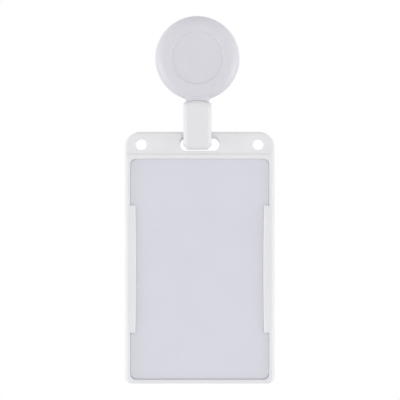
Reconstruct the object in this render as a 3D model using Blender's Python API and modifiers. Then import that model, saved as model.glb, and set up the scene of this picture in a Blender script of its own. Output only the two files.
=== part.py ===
"""A retractable badge reel that hangs from a swivel clip, with a snap hook and a rigid card frame.

X is to the wearer's side, -Y faces the viewer and +Z is up. The origin is on the swivel axis,
at the face of the clip that the cloth rests on. Sizes are in millimetres until they are built.
"""

from math import acos, asin, atan2, cos, hypot, pi, radians, sin, sqrt, tau

import bmesh
import bpy
from mathutils import Matrix, Vector

MM = 0.001

# Depths: the cord runs in the plane y = CORD_Y, and "forward" is measured from it towards -Y.
CORD_Y = -6.8
GAP = 0.2

# Reel case
REEL_RADIUS = 16.5
REEL_HALF_DEPTH = 5.0
CASE_WALL = 1.3
CASE_INNER_RADIUS = 15.1
FRONT_EDGE_ROUND = 4.5
REAR_EDGE_ROUND = 3.7
PARTING = -1.2
POST_RADIUS = 2.2
POST_END = -2.6
RECESS_RADIUS = 10.6
RECESS_DEPTH = 0.5
LABEL_THICKNESS = 0.3
NECK_HALF_WIDTH = 4.6
NECK_HALF_DEPTH = 2.4
NECK_FRONT = -3.8
NECK_FRONT_ROOT_RADIUS = 14.85
NECK_FILLET = 1.2
CORD_BORE_RADIUS = 1.5

# Spool, spring and cord
GROOVE_HALF_WIDTH = 1.5
FLANGE_THICKNESS = 0.8
FLANGE_RADIUS = 13.9
DRUM_RADIUS = 10.6
SPRING_ROOM_RADIUS = 9.4
SPOOL_FRONT = 3.3
SPRING_THICKNESS = 0.15
SPRING_TURNS = 7
CORD_DIAMETER = 0.9
WINDING_RADIUS = 13.2
RUNNING_CLEARANCE = 0.05

# Swivel
SHANK_RADIUS = 1.6
RIVET_FLANGE_RADIUS = 3.0
RIVET_HEAD_RADIUS = 2.4
SHEET = 0.7

# Clip: side-view places are (y, z)
CLIP_PIVOT = (5.1, 3.0)
CLIP_WIDTH = 10.0
CLIP_LOW = -12.5
CLIP_HIGH = 11.0
CLIP_PIN_RADIUS = 0.75
LEVER_HALF_WIDTH = 3.8
LEVER_LINE = ((0.75, -12.0), (4.9, -2.0), (7.7, 3.4), (10.3, 12.3))

# Hook: side-view places are (distance behind the cord plane, z)
HOOK_WIDTH = 11.0
HOOK_FRONT = -5.0
HOOK_REAR = 4.6
HOOK_LOW = -35.65
HOOK_ROOF = -22.5
HOOK_INNER_HALF = 2.7
CROOK_THICKNESS = 3.8
CROOK_ROUND = 3.2
CROOK_INNER_ROUND = 1.2
HEAD_TOP = -16.2
DOME_RADIUS = 12.75
GATE_PIVOT = (3.4, -20.6)
GATE_PIN_RADIUS = 0.6
GATE_OUTER = 4.4
GATE_HALF_WIDTH = 3.9
NOSE_TIP = (4.6, -26.9)
NOSE_ROOT = (2.7, -28.5)
FERRULE_RADIUS = 1.0
FERRULE_FLANGE_RADIUS = 1.9

# Card frame: its places are measured from its own middle line
HOLDER_X = 0.9
HOLDER_WIDTH = 58.6
HOLDER_TOP = -28.75
HOLDER_LOW = -127.1
HOLDER_BACK = 1.7
BAR_FRONT = -1.7
RIM_FRONT = -2.2
FLOOR_FRONT = -0.05
RIM_TOP = -37.5
TRAY_HALF_WIDTH = 27.4
TRAY_TOP = -39.35
TRAY_LOW = -125.6
SLOT_CENTRE_Z = -33.8
SLOT_LENGTH = 15.4
SLOT_HEIGHT = 4.9
BAR_ROUND = 1.6
BAR_ROUND_STEPS = 6
HOLE_X = 22.85
HOLE_RADIUS = 2.4
LIP_TOP = -57.4
LIP_LOW = -107.3
LIP_FRONT = -2.15
LIP_BACK = -1.25
LIP_REACH_MIDDLE = 24.8
LIP_REACH_END = 25.08
THUMB_WIDTH = 14.0
THUMB_HEIGHT = 20.0
CARD_WIDTH = 53.98
CARD_HEIGHT = 85.6
CARD_THICKNESS = 0.76
CARD_CORNER = 3.18
CARD_TOP_CLEARANCE = 0.15

ROUND_SIDES = 48

FRONT_VIEW = (pi / 2, 0, 0)
SIDE_VIEW = (pi / 2, 0, pi / 2)
PLAN_VIEW = (0, 0, 0)


def clear_scene():
    for obj in list(bpy.data.objects):
        bpy.data.objects.remove(obj, do_unlink=True)


def new_collection(name):
    collection = bpy.data.collections.new(name)
    bpy.context.scene.collection.children.link(collection)
    return collection


def material(name, colour, roughness, metallic=0.0):
    made = bpy.data.materials.new(name)
    made.use_nodes = True
    shader = made.node_tree.nodes["Principled BSDF"]
    shader.inputs["Base Color"].default_value = (*colour, 1.0)
    shader.inputs["Roughness"].default_value = roughness
    shader.inputs["Metallic"].default_value = metallic
    return made


def arc(centre, radius, start, end, steps):
    """Points on an arc, from the angle start to the angle end, in degrees."""
    points = []
    for i in range(steps + 1):
        angle = radians(start + (end - start) * i / steps)
        points.append((centre[0] + radius * cos(angle), centre[1] + radius * sin(angle)))
    return points


def rounded_rectangle(left, right, low, high, low_round, high_round, steps=6):
    return (
        arc((right - high_round, high - high_round), high_round, 0, 90, steps)
        + arc((left + high_round, high - high_round), high_round, 90, 180, steps)
        + arc((left + low_round, low + low_round), low_round, 180, 270, steps)
        + arc((right - low_round, low + low_round), low_round, 270, 360, steps)
    )


def stadium(centre, length, height, steps=10):
    """A slot outline, long in its first direction."""
    reach = (length - height) / 2
    right = arc((centre[0] + reach, centre[1]), height / 2, -90, 90, steps)
    left = arc((centre[0] - reach, centre[1]), height / 2, 90, 270, steps)
    return right + left


def thick_line(points, thickness):
    """The outline of a bent strip whose middle line is given, with mitred bends."""
    line = [Vector(p) for p in points]
    sides = ([], [])
    for i, point in enumerate(line):
        before = (line[i] - line[i - 1]).normalized() if i else None
        after = (line[i + 1] - line[i]).normalized() if i + 1 < len(line) else None
        along = ((before or after) + (after or before)).normalized()
        across = Vector((-along.y, along.x))
        half = thickness / 2 / abs(across.dot(Vector((-(after or before).y, (after or before).x))))
        sides[0].append(tuple(point + across * half))
        sides[1].append(tuple(point - across * half))
    return sides[0] + sides[1][::-1]


def finish_mesh(obj, collection, sharp_degrees=40):
    mesh = obj.data
    mesh.shade_smooth()
    mesh.set_sharp_from_angle(angle=radians(sharp_degrees))
    collection.objects.link(obj)
    return obj


def place(obj, at, view):
    obj.location = Vector(at) * MM
    obj.rotation_euler = view
    return obj


def turned(name, profile, collection, at=(0, CORD_Y, 0), view=FRONT_VIEW, sides=ROUND_SIDES):
    """A solid of revolution. The profile's points are (radius, forward), down its outer side."""
    mesh = bpy.data.meshes.new(name)
    count = len(profile)
    closed = profile[0][0] > 0
    edges = [(i, i + 1) for i in range(count - 1)]
    if closed:
        edges.append((count - 1, 0))
    mesh.from_pydata([(r * MM, 0, f * MM) for r, f in profile], edges, [])
    obj = bpy.data.objects.new(name, mesh)
    collection.objects.link(obj)
    screw = obj.modifiers.new("turn", "SCREW")
    screw.steps = sides
    screw.render_steps = sides
    screw.use_merge_vertices = True
    screw.merge_threshold = 0.000001
    screw.use_smooth_shade = True
    return place(obj, at, view)


def extruded(name, outline, low, high, collection, view, across=0.0, edge_round=0.0):
    """A flat outline given thickness along its view's normal, from low to high.

    In the front view the normal is -Y, so low and high are distances behind the cord plane there.
    """
    curve = bpy.data.curves.new(name + "_outline", "CURVE")
    curve.dimensions = "2D"
    curve.fill_mode = "BOTH"
    curve.extrude = (high - low) / 2 * MM
    spline = curve.splines.new("POLY")
    spline.points.add(len(outline) - 1)
    for point, (x, y) in zip(spline.points, outline):
        point.co = (x * MM, y * MM, 0, 1)
    spline.use_cyclic_u = True
    middle = (low + high) / 2
    if view == FRONT_VIEW:
        at = (across, CORD_Y + middle, 0)
    elif view == SIDE_VIEW:
        at = (middle, across, 0)
    else:
        at = (0, across, middle)
    guide = place(bpy.data.objects.new(name + "_outline", curve), at, view)
    return meshed(guide, name, collection, edge_round)


def meshed(guide, name, collection, edge_round=0.0):
    """Turns a curve object into a closed mesh object with applied placing, and removes the curve."""
    collection.objects.link(guide)
    bpy.context.view_layer.update()
    graph = bpy.context.evaluated_depsgraph_get()
    mesh = bpy.data.meshes.new_from_object(guide.evaluated_get(graph))
    mesh.transform(guide.matrix_world)
    curve = guide.data
    bpy.data.objects.remove(guide, do_unlink=True)
    bpy.data.curves.remove(curve)
    shape = bmesh.new()
    shape.from_mesh(mesh)
    bmesh.ops.remove_doubles(shape, verts=shape.verts, dist=0.000001)
    bmesh.ops.recalc_face_normals(shape, faces=shape.faces)
    shape.to_mesh(mesh)
    shape.free()
    mesh.name = name
    obj = finish_mesh(bpy.data.objects.new(name, mesh), collection)
    if edge_round:
        bevel = obj.modifiers.new("edge_round", "BEVEL")
        bevel.width = edge_round * MM
        bevel.segments = 2
        bevel.limit_method = "ANGLE"
        bevel.angle_limit = radians(50)
    return obj


def lofted(name, rings, collection):
    """A closed solid through rings of places in millimetres, each with the same number of points."""
    shape = bmesh.new()
    loops = []
    for ring in rings:
        verts = [shape.verts.new(Vector(point) * MM) for point in ring]
        loops.append([shape.edges.new(pair) for pair in zip(verts, verts[1:] + verts[:1])])
    for near, far in zip(loops, loops[1:]):
        bmesh.ops.bridge_loops(shape, edges=near + far)
    bmesh.ops.contextual_create(shape, geom=loops[0])
    bmesh.ops.contextual_create(shape, geom=loops[-1])
    bmesh.ops.recalc_face_normals(shape, faces=shape.faces)
    mesh = bpy.data.meshes.new(name)
    shape.to_mesh(mesh)
    shape.free()
    return finish_mesh(bpy.data.objects.new(name, mesh), collection)


def wire(name, points, radius, collection):
    """A round wire along a list of places in millimetres."""
    curve = bpy.data.curves.new(name + "_line", "CURVE")
    curve.dimensions = "3D"
    curve.bevel_depth = radius * MM
    curve.bevel_resolution = 2
    curve.use_fill_caps = True
    spline = curve.splines.new("POLY")
    spline.points.add(len(points) - 1)
    for point, place_mm in zip(spline.points, points):
        point.co = (*(value * MM for value in place_mm), 1)
    guide = bpy.data.objects.new(name + "_line", curve)
    return meshed(guide, name, collection)


def cylinder(name, radius, start, end, collection, sides=32):
    """A cylinder between two places in millimetres."""
    axis = Vector(end) - Vector(start)
    mesh = bpy.data.meshes.new(name)
    shape = bmesh.new()
    bmesh.ops.create_cone(
        shape,
        cap_ends=True,
        segments=sides,
        radius1=radius * MM,
        radius2=radius * MM,
        depth=axis.length * MM,
    )
    shape.to_mesh(mesh)
    shape.free()
    obj = finish_mesh(bpy.data.objects.new(name, mesh), collection)
    obj.location = (Vector(start) + Vector(end)) / 2 * MM
    obj.rotation_mode = "QUATERNION"
    obj.rotation_quaternion = axis.to_track_quat("Z", "Y")
    return obj


def centred(obj, pivot):
    """Puts an object's origin on its joint's axis, without moving its shape."""
    offset = Vector(pivot) * MM
    obj.data.transform(Matrix.Translation(-offset) @ obj.matrix_basis)
    obj.matrix_basis = Matrix.Translation(offset)
    return obj


def combine(obj, other, operation):
    boolean = obj.modifiers.new(operation.lower(), "BOOLEAN")
    boolean.operation = operation
    boolean.solver = "EXACT"
    boolean.object = other
    other.hide_render = True
    other.display_type = "WIRE"
    return obj


def paint(obj, made):
    obj.data.materials.clear()
    obj.data.materials.append(made)
    return obj


# The reel case


def dome_height(radius, sphere):
    """Height of the hook head's dome, or of the seat over it, at a distance from the swivel axis."""
    centre = HEAD_TOP - DOME_RADIUS
    return centre + sqrt(sphere**2 - radius**2)


def dome_solid(name, sphere, low, collection):
    """A turned solid under the dome, down to a level, wide enough to cover the hook's head."""
    reach = 9.0
    steps = 8
    profile = [(reach * i / steps, dome_height(reach * i / steps, sphere)) for i in range(steps + 1)]
    profile += [(reach, low), (0, low)]
    return turned(name, profile, collection, view=PLAN_VIEW, sides=48)


def neck_outline(root):
    """The short neck below the disc, from a root radius in the wall, with a concave fillet each side."""
    fillet_x = NECK_HALF_WIDTH + NECK_FILLET
    fillet_z = -sqrt((REEL_RADIUS + NECK_FILLET) ** 2 - fillet_x**2)
    low = HEAD_TOP - 1.5
    rim_angle = atan2(fillet_z, fillet_x)
    rim_start = 180 + rim_angle * 180 / pi
    right = arc((fillet_x, fillet_z), NECK_FILLET, rim_start, 180, 4)
    left = [(-x, z) for x, z in reversed(right)]
    inner_half = acos(0.0) - asin(right[0][0] / root)
    inner_degrees = inner_half * 180 / pi
    top = arc((0, 0), root, 180 + inner_degrees, 360 - inner_degrees, 8)
    return right + [(NECK_HALF_WIDTH, low), (-NECK_HALF_WIDTH, low)] + left + top


def cut_neck(cover, cutters):
    bore = cylinder(
        cover.name + "_bore",
        CORD_BORE_RADIUS,
        (0, CORD_Y, -14.0),
        (0, CORD_Y, -19.0),
        cutters,
    )
    seat = dome_solid(cover.name + "_seat", DOME_RADIUS + GAP, -20.0, cutters)
    combine(cover, bore, "DIFFERENCE")
    combine(cover, seat, "DIFFERENCE")


def build_front_cover(parts, cutters):
    roof = REEL_HALF_DEPTH - CASE_WALL
    edge_centre = (REEL_RADIUS - FRONT_EDGE_ROUND, REEL_HALF_DEPTH - FRONT_EDGE_ROUND)
    inner_round = roof - edge_centre[1] - 0.1
    inner_centre = (CASE_INNER_RADIUS - inner_round, roof - inner_round)
    rim = PARTING + GAP / 2
    profile = [(0, REEL_HALF_DEPTH - RECESS_DEPTH)]
    profile.append((RECESS_RADIUS, REEL_HALF_DEPTH - RECESS_DEPTH))
    profile.append((RECESS_RADIUS + 0.15, REEL_HALF_DEPTH))
    profile += arc(edge_centre, FRONT_EDGE_ROUND, 90, 0, 6)
    profile += [(REEL_RADIUS, rim), (CASE_INNER_RADIUS, rim)]
    profile += arc(inner_centre, inner_round, 0, 90, 4)
    profile += [(POST_RADIUS, roof), (POST_RADIUS, POST_END), (0, POST_END)]
    cover = turned("front_cover", profile, parts)
    outline = neck_outline((REEL_RADIUS + CASE_INNER_RADIUS) / 2)
    neck = extruded("front_neck", outline, -NECK_HALF_DEPTH, -rim, cutters, FRONT_VIEW)
    combine(cover, neck, "UNION")
    outline = neck_outline(NECK_FRONT_ROOT_RADIUS)
    face = extruded("neck_face", outline, NECK_FRONT, -NECK_HALF_DEPTH + 0.1, cutters, FRONT_VIEW)
    combine(cover, face, "UNION")
    cut_neck(cover, cutters)
    return cover


def build_rear_cover(parts, cutters):
    rim = PARTING - GAP / 2
    floor = -REEL_HALF_DEPTH + CASE_WALL
    outer_centre = (REEL_RADIUS - REAR_EDGE_ROUND, -REEL_HALF_DEPTH + REAR_EDGE_ROUND)
    inner_round = rim - floor
    inner_centre = (CASE_INNER_RADIUS - inner_round, rim)
    hole = SHANK_RADIUS + 0.15
    profile = arc(outer_centre, REAR_EDGE_ROUND, 0, -90, 5)
    profile += [(hole, -REEL_HALF_DEPTH), (hole, floor)]
    profile += arc(inner_centre, inner_round, -90, 0, 4)
    cover = turned("rear_cover", profile, parts)
    outline = neck_outline((REEL_RADIUS + CASE_INNER_RADIUS) / 2)
    neck = extruded("rear_neck", outline, -rim, NECK_HALF_DEPTH, cutters, FRONT_VIEW)
    combine(cover, neck, "UNION")
    cut_neck(cover, cutters)
    return cover


def build_face_label(parts):
    radius = RECESS_RADIUS - 0.15
    low = REEL_HALF_DEPTH - RECESS_DEPTH + RUNNING_CLEARANCE
    high = low + LABEL_THICKNESS
    profile = [(0, high), (radius - 0.12, high), (radius, high - 0.08), (radius, low), (0, low)]
    return turned("face_label", profile, parts)


# The spool, its spring and the cord


def build_spool(parts):
    outer = GROOVE_HALF_WIDTH + FLANGE_THICKNESS
    bore = POST_RADIUS + RUNNING_CLEARANCE
    profile = [
        (DRUM_RADIUS, SPOOL_FRONT),
        (DRUM_RADIUS, outer),
        (FLANGE_RADIUS, outer),
        (FLANGE_RADIUS, GROOVE_HALF_WIDTH),
        (DRUM_RADIUS, GROOVE_HALF_WIDTH),
        (DRUM_RADIUS, -GROOVE_HALF_WIDTH),
        (FLANGE_RADIUS, -GROOVE_HALF_WIDTH),
        (FLANGE_RADIUS, -outer),
        (bore, -outer),
        (bore, -GROOVE_HALF_WIDTH),
        (SPRING_ROOM_RADIUS, -GROOVE_HALF_WIDTH),
        (SPRING_ROOM_RADIUS, SPOOL_FRONT),
    ]
    return turned("spool", profile, parts)


def build_mainspring(parts):
    """A flat spiral ribbon from the fixed post out to the drum."""
    inner = POST_RADIUS + 0.25
    outer = SPRING_ROOM_RADIUS - 0.2
    back = -GROOVE_HALF_WIDTH + 0.3
    front = SPOOL_FRONT - 0.3
    steps = SPRING_TURNS * 16
    points = []
    for i in range(steps + 1):
        share = i / steps
        radius = inner + (outer - inner) * share
        angle = tau * SPRING_TURNS * share
        x = radius * cos(angle) * MM
        z = radius * sin(angle) * MM
        points.append((x, (CORD_Y - back) * MM, z))
        points.append((x, (CORD_Y - front) * MM, z))
    faces = [(2 * i, 2 * i + 1, 2 * i + 3, 2 * i + 2) for i in range(steps)]
    mesh = bpy.data.meshes.new("mainspring")
    mesh.from_pydata(points, [], faces)
    obj = finish_mesh(bpy.data.objects.new("mainspring", mesh), parts)
    ribbon = obj.modifiers.new("ribbon", "SOLIDIFY")
    ribbon.thickness = SPRING_THICKNESS * MM
    ribbon.offset = 0
    ribbon.use_even_offset = True
    return obj


def build_cord_winding(parts):
    """The wound cord, as one ring of its outer shape."""
    half = GROOVE_HALF_WIDTH - 0.15
    inner = DRUM_RADIUS + 0.15
    profile = [
        (WINDING_RADIUS, half),
        (WINDING_RADIUS, -half),
        (inner, -half),
        (inner, half),
    ]
    return turned("cord_winding", profile, parts)


def lead_route():
    """The cord's way off the winding, round into the neck's bore and down to the hook's head."""
    radius = WINDING_RADIUS + CORD_DIAMETER / 2 + 0.1
    corner_z = -15.4
    bend = 2.0
    off = acos(radius / -corner_z)
    points = []
    for i in range(7):
        angle = -pi / 2 + off + radians(30) * (1 - i / 6)
        points.append((radius * cos(angle), radius * sin(angle)))
    along = Vector((-cos(off), -sin(off)))
    turn = acos(sin(off))
    start = Vector((0, corner_z)) - along * bend * (sin(turn / 2) / cos(turn / 2))
    centre = start + Vector((along.y, -along.x)) * bend
    first = atan2(start.y - centre.y, start.x - centre.x)
    for i in range(7):
        angle = first + turn * i / 6
        points.append((centre.x + bend * cos(angle), centre.y + bend * sin(angle)))
    return points


def build_cord_lead(parts):
    route = [(x, CORD_Y, z) for x, z in lead_route()]
    return wire("cord_lead", route, CORD_DIAMETER / 2, parts)


def build_cord_ferrule(parts):
    """The crimped stop on the cord's end, which the hook's head turns on."""
    profile = [
        (0, HEAD_TOP - 1.0),
        (FERRULE_RADIUS - 0.2, HEAD_TOP - 1.0),
        (FERRULE_RADIUS, HEAD_TOP - 1.2),
        (FERRULE_RADIUS, HEAD_TOP - 2.7),
        (FERRULE_FLANGE_RADIUS, HEAD_TOP - 2.7),
        (FERRULE_FLANGE_RADIUS, HEAD_TOP - 3.5),
        (FERRULE_FLANGE_RADIUS - 0.2, HEAD_TOP - 3.6),
        (0, HEAD_TOP - 3.6),
    ]
    return turned("cord_ferrule", profile, parts, view=PLAN_VIEW, sides=32)


# The swivel and the clip


def build_swivel_rivet(parts):
    inside = POST_END - GAP
    plate_rear = CORD_Y
    profile = [
        (0, inside),
        (RIVET_FLANGE_RADIUS, inside),
        (RIVET_FLANGE_RADIUS, inside - SHEET),
        (SHANK_RADIUS, inside - SHEET),
        (SHANK_RADIUS, plate_rear - 0.1),
        (RIVET_HEAD_RADIUS, plate_rear - 0.1),
        (RIVET_HEAD_RADIUS, plate_rear - 0.5),
        (RIVET_HEAD_RADIUS - 0.5, plate_rear - 0.8),
        (0, plate_rear - 0.8),
    ]
    return turned("swivel_rivet", profile, parts, sides=48)


def build_swivel_washer(parts):
    front = -REEL_HALF_DEPTH - GAP
    rear = CORD_Y + SHEET + GAP
    inner = SHANK_RADIUS + 0.15
    profile = [(5.0, front), (5.0, rear), (inner, rear), (inner, front)]
    return turned("swivel_washer", profile, parts, sides=48)


def ear_outline(pivot, radius, root_y, half_root):
    """A lug: a round end about the pivot, on a root that reaches back to y = root_y."""
    y, z = pivot
    if root_y < y:
        round_end = arc((y, z), radius, -90, 90, 8)
    else:
        round_end = arc((y, z), radius, 90, 270, 8)
        half_root = -half_root
    return round_end + [(root_y, z + half_root), (root_y, z - half_root)]


def build_clip_base_jaw(parts, cutters):
    half = CLIP_WIDTH / 2
    outline = rounded_rectangle(-half, half, CLIP_LOW, CLIP_HIGH, 1.0, 3.0)
    back = -CORD_Y
    jaw = extruded("clip_base_jaw", outline, back - SHEET, back, parts, FRONT_VIEW)
    y, z = CLIP_PIVOT
    outline = ear_outline(CLIP_PIVOT, 2.0, -SHEET / 2, 3.6)
    for side, low in (("left", -half), ("right", half - SHEET)):
        ear = extruded("base_ear_" + side, outline, low, low + SHEET, cutters, SIDE_VIEW)
        combine(jaw, ear, "UNION")
    rivet_hole = cylinder("base_rivet_hole", SHANK_RADIUS + 0.05, (0, -2, 0), (0, 1, 0), cutters, 48)
    combine(jaw, rivet_hole, "DIFFERENCE")
    pin_hole = cylinder("base_pin_hole", CLIP_PIN_RADIUS + 0.05, (-6, y, z), (6, y, z), cutters)
    combine(jaw, pin_hole, "DIFFERENCE")
    return jaw


def build_clip_lever_jaw(parts, cutters):
    y, z = CLIP_PIVOT
    outline = thick_line(LEVER_LINE, SHEET)
    lever = extruded(
        "clip_lever_jaw", outline, -LEVER_HALF_WIDTH, LEVER_HALF_WIDTH, parts, SIDE_VIEW
    )
    outline = ear_outline(CLIP_PIVOT, 1.6, 7.2, 1.6)
    for side, low in (("left", -LEVER_HALF_WIDTH), ("right", LEVER_HALF_WIDTH - SHEET)):
        ear = extruded("lever_ear_" + side, outline, low, low + SHEET, cutters, SIDE_VIEW)
        combine(lever, ear, "UNION")
    pin_hole = cylinder("lever_pin_hole", CLIP_PIN_RADIUS + 0.05, (-6, y, z), (6, y, z), cutters)
    combine(lever, pin_hole, "DIFFERENCE")
    return centred(lever, (0, y, z))


def build_clip_pin(parts):
    y, z = CLIP_PIVOT
    half = CLIP_WIDTH / 2
    head = 1.25
    profile = [
        (0, half + 0.7),
        (head, half + 0.7),
        (head, half + 0.1),
        (CLIP_PIN_RADIUS, half + 0.1),
        (CLIP_PIN_RADIUS, -half - 0.1),
        (head, -half - 0.1),
        (head, -half - 0.7),
        (0, -half - 0.7),
    ]
    return turned("clip_pin", profile, parts, at=(0, y, z), view=(0, pi / 2, 0), sides=32)


def torsion_spring(name, pivot, coil_radius, wire_radius, turns, half_width, legs, parts):
    """A coil round an axis along X, with a straight leg at each end. Legs end at (y, z) places."""
    y, z = pivot
    ends = []
    for side, (leg_y, leg_z) in ((-1, legs[0]), (1, legs[1])):
        towards = atan2(leg_z - z, leg_y - y)
        ends.append(towards + side * acos(coil_radius / hypot(leg_y - y, leg_z - z)))
    sweep = (ends[0] - ends[1]) % tau + tau * turns
    steps = round(sweep / tau * 12)
    points = [(-half_width, *legs[0])]
    for i in range(steps + 1):
        share = i / steps
        angle = ends[0] - sweep * share
        x = -half_width + 2 * half_width * share
        points.append((x, y + coil_radius * cos(angle), z + coil_radius * sin(angle)))
    points.append((half_width, *legs[1]))
    return wire(name, points, wire_radius, parts)


def build_clip_spring(parts):
    legs = ((9.0, 9.9), (0.45, 9.0))
    return torsion_spring("clip_spring", CLIP_PIVOT, 1.15, 0.22, 4, 2.2, legs, parts)


# The hook


def hook_side_outline():
    """The hook from the side: head, front leg, thick crook and nose."""
    front_round = (HOOK_FRONT + CROOK_ROUND, HOOK_LOW + CROOK_ROUND)
    rear_round = (HOOK_REAR - CROOK_ROUND, HOOK_LOW + CROOK_ROUND)
    inner_low = HOOK_LOW + CROOK_THICKNESS + CROOK_INNER_ROUND
    inner_reach = HOOK_INNER_HALF - CROOK_INNER_ROUND
    top = HEAD_TOP + 1.0
    outline = [(HOOK_FRONT, top)]
    outline += arc(front_round, CROOK_ROUND, 180, 270, 6)
    outline += arc(rear_round, CROOK_ROUND, 270, 360, 6)
    outline += [NOSE_TIP, NOSE_ROOT]
    outline += arc((inner_reach, inner_low), CROOK_INNER_ROUND, 0, -90, 4)
    outline += arc((-inner_reach, inner_low), CROOK_INNER_ROUND, 270, 180, 4)
    outline += [(-HOOK_INNER_HALF, HOOK_ROOF), (HOOK_REAR, HOOK_ROOF), (HOOK_REAR, top)]
    return outline


def build_hook_body(parts, cutters):
    half = HOOK_WIDTH / 2
    hook = extruded(
        "hook_body", hook_side_outline(), -half, half, parts, SIDE_VIEW, across=CORD_Y
    )
    chamfer = 1.5
    small = 0.6
    plan = [
        (-half, HOOK_FRONT + 1.0),
        (-half + chamfer, HOOK_FRONT),
        (half - chamfer, HOOK_FRONT),
        (half, HOOK_FRONT + 1.0),
        (half, HOOK_REAR - small),
        (half - small, HOOK_REAR),
        (-half + small, HOOK_REAR),
        (-half, HOOK_REAR - small),
    ]
    plan_shape = extruded("hook_plan", plan, -40, -10, cutters, PLAN_VIEW, across=CORD_Y)
    combine(hook, plan_shape, "INTERSECT")
    front = [
        (-half - 1, -10),
        (-half - 1, HOOK_LOW + chamfer + 1),
        (-half + chamfer, HOOK_LOW),
        (-half + chamfer, HOOK_LOW - 1),
        (half - chamfer, HOOK_LOW - 1),
        (half - chamfer, HOOK_LOW),
        (half + 1, HOOK_LOW + chamfer + 1),
        (half + 1, -10),
    ]
    front_shape = extruded("hook_front", front, -8, 8, cutters, FRONT_VIEW)
    combine(hook, front_shape, "INTERSECT")
    combine(hook, dome_solid("hook_dome", DOME_RADIUS, -40.0, cutters), "INTERSECT")
    gate_room = [(0.8, -23.2), (0.8, -22.5), (1.7, -18.9), (5.5, -18.9), (5.5, -23.2)]
    gate_half = GATE_HALF_WIDTH + GAP
    room = extruded("gate_room", gate_room, -gate_half, gate_half, cutters, SIDE_VIEW, across=CORD_Y)
    combine(hook, room, "DIFFERENCE")
    y = CORD_Y + GATE_PIVOT[0]
    z = GATE_PIVOT[1]
    pin_hole = cylinder("hook_pin_hole", GATE_PIN_RADIUS + 0.05, (-6, y, z), (6, y, z), cutters, 24)
    combine(hook, pin_hole, "DIFFERENCE")
    stem = FERRULE_RADIUS + 0.15
    flange = FERRULE_FLANGE_RADIUS + 0.2
    shoulder = HEAD_TOP - 2.5
    profile = [
        (0, HEAD_TOP + 1),
        (stem, HEAD_TOP + 1),
        (stem, shoulder),
        (flange, shoulder),
        (flange, HOOK_ROOF - 1),
        (0, HOOK_ROOF - 1),
    ]
    stop_room = turned("ferrule_room", profile, cutters, view=PLAN_VIEW, sides=32)
    combine(hook, stop_room, "DIFFERENCE")
    return centred(hook, (0, CORD_Y, HEAD_TOP))


def build_hook_gate(parts, cutters):
    y, z = GATE_PIVOT
    boss = 1.2
    slope = (NOSE_TIP[1] - NOSE_ROOT[1]) / (NOSE_TIP[0] - NOSE_ROOT[0])
    lift = 0.25 * sqrt(1 + slope**2)
    outer_tip = NOSE_ROOT[1] + slope * (GATE_OUTER - NOSE_ROOT[0]) + lift
    inner_tip = NOSE_ROOT[1] + lift
    outline = arc((y, z), boss, 0, 180, 10)
    outline += [(y - boss, z - 0.4), (HOOK_INNER_HALF, z - 1.6)]
    outline += [(HOOK_INNER_HALF, inner_tip), (GATE_OUTER, outer_tip), (GATE_OUTER, z - 1.2)]
    gate = extruded(
        "hook_gate", outline, -GATE_HALF_WIDTH, GATE_HALF_WIDTH, parts, SIDE_VIEW, across=CORD_Y
    )
    spring_room = [(1.0, z - 1.8), (6.0, z - 1.8), (6.0, -18.0), (1.0, -18.0)]
    room = extruded("spring_room", spring_room, -1.4, 1.4, cutters, SIDE_VIEW, across=CORD_Y)
    combine(gate, room, "DIFFERENCE")
    pin_y = CORD_Y + y
    pin_hole = cylinder(
        "gate_pin_hole", GATE_PIN_RADIUS + RUNNING_CLEARANCE, (-6, pin_y, z), (6, pin_y, z), cutters, 24
    )
    combine(gate, pin_hole, "DIFFERENCE")
    return centred(gate, (0, pin_y, z))


def build_gate_pin(parts):
    y = CORD_Y + GATE_PIVOT[0]
    z = GATE_PIVOT[1]
    pin = cylinder("gate_pin", GATE_PIN_RADIUS, (-5.2, y, z), (5.2, y, z), parts, 24)
    return centred(pin, (0, CORD_Y, HEAD_TOP))


def build_gate_spring(parts):
    y = CORD_Y + GATE_PIVOT[0]
    z = GATE_PIVOT[1]
    legs = ((CORD_Y + 2.42, z - 3.6), (y + 0.5, z + 1.5))
    spring = torsion_spring("gate_spring", (y, z), 0.85, 0.13, 3, 1.1, legs, parts)
    return centred(spring, (0, CORD_Y, HEAD_TOP))


# The card frame


def lip_outline(side):
    """A retaining lip: its root is inside the side wall and its free edge is gently convex."""
    steps = 10
    middle = (LIP_TOP + LIP_LOW) / 2
    half = (LIP_TOP - LIP_LOW) / 2
    root = TRAY_HALF_WIDTH + 0.8
    outline = [(side * root, LIP_TOP), (side * root, LIP_LOW)]
    for i in range(steps + 1):
        share = 2 * i / steps - 1
        reach = LIP_REACH_MIDDLE + (LIP_REACH_END - LIP_REACH_MIDDLE) * share**2
        outline.append((side * reach, middle + half * share))
    return outline


def slot_cutter(cutters):
    """The slot, with its upper half opening out to both faces where the crook bears."""
    outline = stadium((0, SLOT_CENTRE_Z), SLOT_LENGTH, SLOT_HEIGHT)
    levels = []
    for i in range(BAR_ROUND_STEPS + 1):
        angle = pi / 2 * i / BAR_ROUND_STEPS
        levels.append((BAR_ROUND * (1 - sin(angle)), BAR_ROUND * (1 - cos(angle))))
    front = [(BAR_FRONT - 1, BAR_ROUND)] + [(BAR_FRONT + depth, rise) for depth, rise in levels[::-1]]
    back = [(HOLDER_BACK - depth, rise) for depth, rise in levels] + [(HOLDER_BACK + 1, BAR_ROUND)]
    rings = []
    for behind, rise in front + back:
        stretch = 1 + rise / (SLOT_HEIGHT / 2)
        ring = []
        for x, z in outline:
            above = z - SLOT_CENTRE_Z
            if above > 0:
                above *= stretch
            ring.append((HOLDER_X + x, CORD_Y + behind, SLOT_CENTRE_Z + above))
        rings.append(ring)
    return lofted("slot_cut", rings, cutters)


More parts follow.
